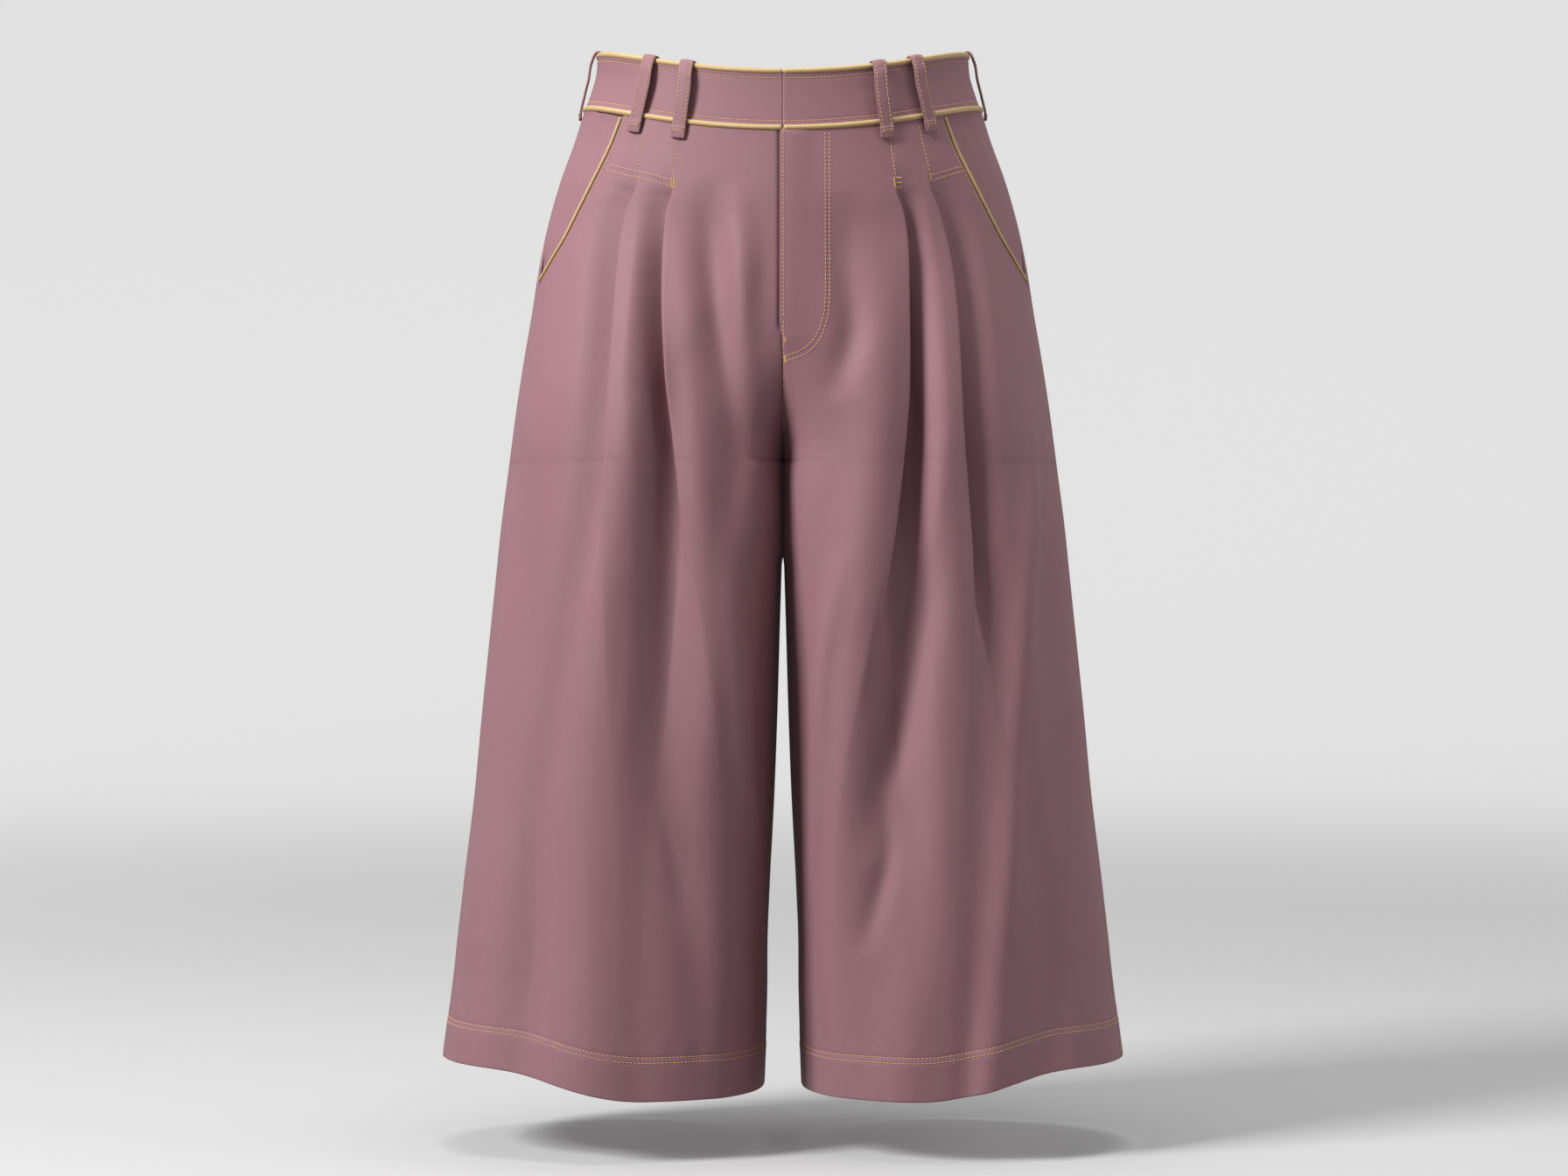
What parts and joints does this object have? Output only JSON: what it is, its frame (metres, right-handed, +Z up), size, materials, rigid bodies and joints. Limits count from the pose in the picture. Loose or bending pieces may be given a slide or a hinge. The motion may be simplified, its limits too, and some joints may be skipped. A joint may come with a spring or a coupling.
{
  "type": "culottes",
  "caption": "Mid-calf wide-leg culottes with knife pleats, slant pockets, fly front, belt loops and gold piping, filled out as worn with no wearer.",
  "frame": {"origin": "centre of the waist opening, level with the waistband's top edge at the side seams: that is where the garment is held", "axes": "+Z up out of the waist, -Y to the front, +X to the wearer's left"},
  "size_m": [0.4952, 0.2558, 0.7516],
  "materials": {
    "mauve_cloth": "smooth fine twill with a soft sheen",
    "gold_piping": "satin-covered cord with a gold sheen"
  },
  "bodies": {
    "root": {"front_left": "mauve_cloth", "front_right": "mauve_cloth", "back_left": "mauve_cloth", "back_right": "mauve_cloth", "pocket_facing_left": "mauve_cloth", "pocket_facing_right": "mauve_cloth", "waistband_front_left": "mauve_cloth", "waistband_front_right": "mauve_cloth", "waistband_back_left": "mauve_cloth", "waistband_back_right": "mauve_cloth", "loop_front_left_inner": "mauve_cloth", "loop_front_left_outer": "mauve_cloth", "loop_front_right_inner": "mauve_cloth", "loop_front_right_outer": "mauve_cloth", "loop_side_left": "mauve_cloth", "loop_side_right": "mauve_cloth", "loop_centre_back": "mauve_cloth", "piping_waist_top": "gold_piping", "piping_waist_seam": "gold_piping", "piping_pocket_left": "gold_piping", "piping_pocket_right": "gold_piping"}
  },
  "joints": []
}
